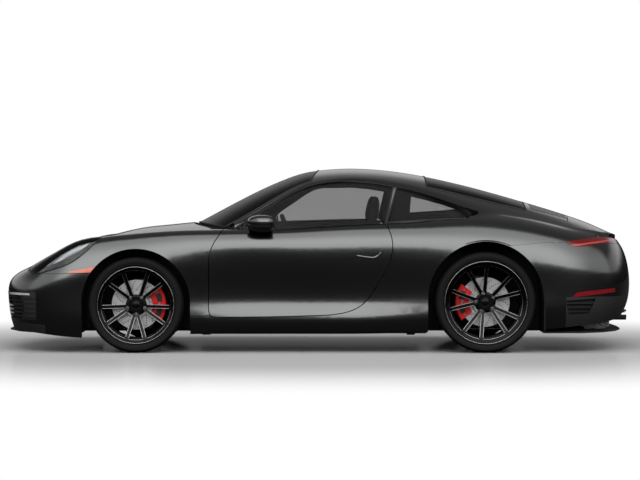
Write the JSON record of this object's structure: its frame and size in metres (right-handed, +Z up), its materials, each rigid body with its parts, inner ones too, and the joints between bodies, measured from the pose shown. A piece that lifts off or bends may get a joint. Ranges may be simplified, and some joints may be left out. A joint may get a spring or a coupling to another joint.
{
  "type": "sports coupe car",
  "caption": "Low rear-engined two-door sports coupe with fastback roof, wide rear haunches, oval headlamps, full-width tail light and thin-spoked alloy wheels; doors, lids and steering move.",
  "frame": {"origin": "centre of the bounding box's bottom face, on the ground midway along the car", "axes": "X runs from the nose at -X to the tail at +X, Y to the car's right, Z up; the car's left side is -Y"},
  "size_m": [4.5199, 2.028, 1.2988],
  "materials": {
    "body_paint": "gloss",
    "underbody": "matte",
    "black_plastic": "matte",
    "glass": "polished",
    "clear_lamp": "polished",
    "red_lamp": "gloss",
    "orange_lamp": "gloss",
    "cast_alloy": "satin",
    "bright_steel": "polished",
    "seat_leather": "satin",
    "red_caliper": "gloss",
    "tyre_rubber": "matte",
    "dark_alloy": "satin",
    "disc_steel": "brushed"
  },
  "bodies": {
    "chassis": {"floor_pan": "underbody", "inner_sills": "underbody", "front_bumper": "body_paint", "rear_bumper": "body_paint", "roof": "body_paint", "windscreen": "glass", "rear_window": "glass", "scuttle": "black_plastic", "spoiler": "body_paint", "tail_lamp": "red_lamp", "front_wings": "body_paint", "quarter_panels": "body_paint", "sills": "body_paint", "roof_rails": "body_paint", "quarter_windows": "glass", "headlamp_lenses": "clear_lamp", "headlamp_bowls": "black_plastic", "arch_liners": "black_plastic", "side_markers": "orange_lamp", "day_lamps": "clear_lamp", "grilles": "black_plastic", "rear_reflectors": "red_lamp", "luggage_tub": "black_plastic", "engine": "cast_alloy", "exhaust": "bright_steel", "front_suspension": "cast_alloy", "rear_suspension": "cast_alloy", "front_seats": "seat_leather", "rear_seats": "seat_leather", "dashboard": "black_plastic", "console": "black_plastic", "rear_knuckles": "cast_alloy", "rear_calipers": "red_caliper"},
    "door_left": {"door_left": "body_paint", "door_glass_left": "glass", "mirror_left": "body_paint", "door_handle_left": "body_paint"},
    "door_right": {"door_right": "body_paint", "door_glass_right": "glass", "mirror_right": "body_paint", "door_handle_right": "body_paint"},
    "bonnet": {"bonnet": "body_paint"},
    "engine_lid": {"engine_lid": "body_paint"},
    "steering_wheel": {"steering_wheel": "seat_leather"},
    "knuckle_left": {"front_knuckle_left": "cast_alloy", "front_caliper_left": "red_caliper"},
    "knuckle_right": {"front_knuckle_right": "cast_alloy", "front_caliper_right": "red_caliper"},
    "front_wheel_left": {"front_tyre_left": "tyre_rubber", "front_rim_left": "dark_alloy", "front_disc_left": "disc_steel"},
    "front_wheel_right": {"front_tyre_right": "tyre_rubber", "front_rim_right": "dark_alloy", "front_disc_right": "disc_steel"},
    "rear_wheel_left": {"rear_tyre_left": "tyre_rubber", "rear_rim_left": "dark_alloy", "rear_disc_left": "disc_steel"},
    "rear_wheel_right": {"rear_tyre_right": "tyre_rubber", "rear_rim_right": "dark_alloy", "rear_disc_right": "disc_steel"}
  },
  "joints": [
    {"name": "steer_left", "type": "hinge", "parent": "chassis", "child": "knuckle_left", "pos_m": [-1.2895, -0.742, 0.334], "axis": [0, 0, 1], "range_deg": [-32, 32]},
    {"name": "steer_right", "type": "hinge", "parent": "chassis", "child": "knuckle_right", "pos_m": [-1.2895, 0.742, 0.334], "axis": [0, 0, 1], "range_deg": [-32, 32]},
    {"name": "steering_turn", "type": "hinge", "parent": "chassis", "child": "steering_wheel", "pos_m": [-0.215, -0.372, 0.7906], "axis": [0.9409, 0, 0.3387], "range_deg": [-450, 450]},
    {"name": "door_left_hinge", "type": "hinge", "parent": "chassis", "child": "door_left", "pos_m": [-0.722, -0.903, 0.55], "axis": [0, 0, -1], "range_deg": [0, 62]},
    {"name": "door_right_hinge", "type": "hinge", "parent": "chassis", "child": "door_right", "pos_m": [-0.722, 0.903, 0.55], "axis": [0, 0, 1], "range_deg": [0, 62]},
    {"name": "bonnet_hinge", "type": "hinge", "parent": "chassis", "child": "bonnet", "pos_m": [-0.768, 0, 0.864], "axis": [0, 1, 0], "range_deg": [0, 50]},
    {"name": "engine_lid_hinge", "type": "hinge", "parent": "chassis", "child": "engine_lid", "pos_m": [1.48, 0, 1.062], "axis": [0, -1, 0], "range_deg": [0, 50]},
    {"name": "front_spin_left", "type": "hinge", "parent": "knuckle_left", "child": "front_wheel_left", "pos_m": [-1.2895, -0.79, 0.334], "axis": [0, 1, 0], "continuous": true},
    {"name": "front_spin_right", "type": "hinge", "parent": "knuckle_right", "child": "front_wheel_right", "pos_m": [-1.2895, 0.79, 0.334], "axis": [0, 1, 0], "continuous": true},
    {"name": "rear_spin_left", "type": "hinge", "parent": "chassis", "child": "rear_wheel_left", "pos_m": [1.1605, -0.772, 0.352], "axis": [0, 1, 0], "continuous": true},
    {"name": "rear_spin_right", "type": "hinge", "parent": "chassis", "child": "rear_wheel_right", "pos_m": [1.1605, 0.772, 0.352], "axis": [0, 1, 0], "continuous": true}
  ],
  "couplings": [
    {"joint": "steer_right", "follows": "steer_left", "ratio": 1},
    {"joint": "steering_turn", "follows": "steer_left", "ratio": 14}
  ]
}
